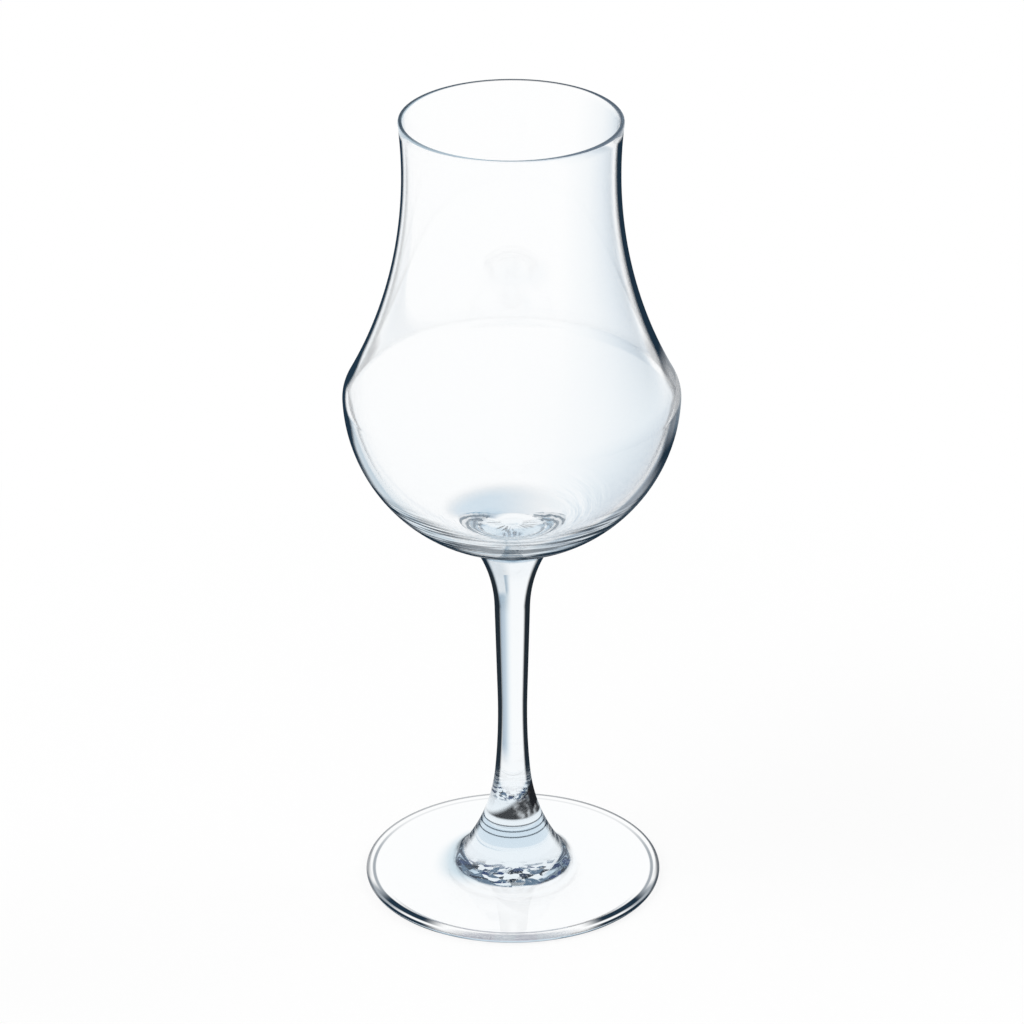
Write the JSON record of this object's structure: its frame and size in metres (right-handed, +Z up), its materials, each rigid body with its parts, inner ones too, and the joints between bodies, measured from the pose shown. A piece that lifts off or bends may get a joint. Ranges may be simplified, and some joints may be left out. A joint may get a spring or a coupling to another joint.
{
  "type": "stemmed wine glass",
  "caption": "Clear glass for nosing and tasting: a round tulip bowl under a tall chimney, on a slim drawn stem and a flat round foot.",
  "frame": {"origin": "centre of the foot, on the plane of the flat ring that the glass stands on", "axes": "+Z up along the glass's axis, from the foot to the mouth; X and Y are any two square directions across the round foot"},
  "size_m": [0.0664, 0.0664, 0.165],
  "materials": {
    "glass": "clear and colourless, smooth and fire-polished"
  },
  "bodies": {
    "root": {"wine_glass": "glass"}
  },
  "joints": []
}
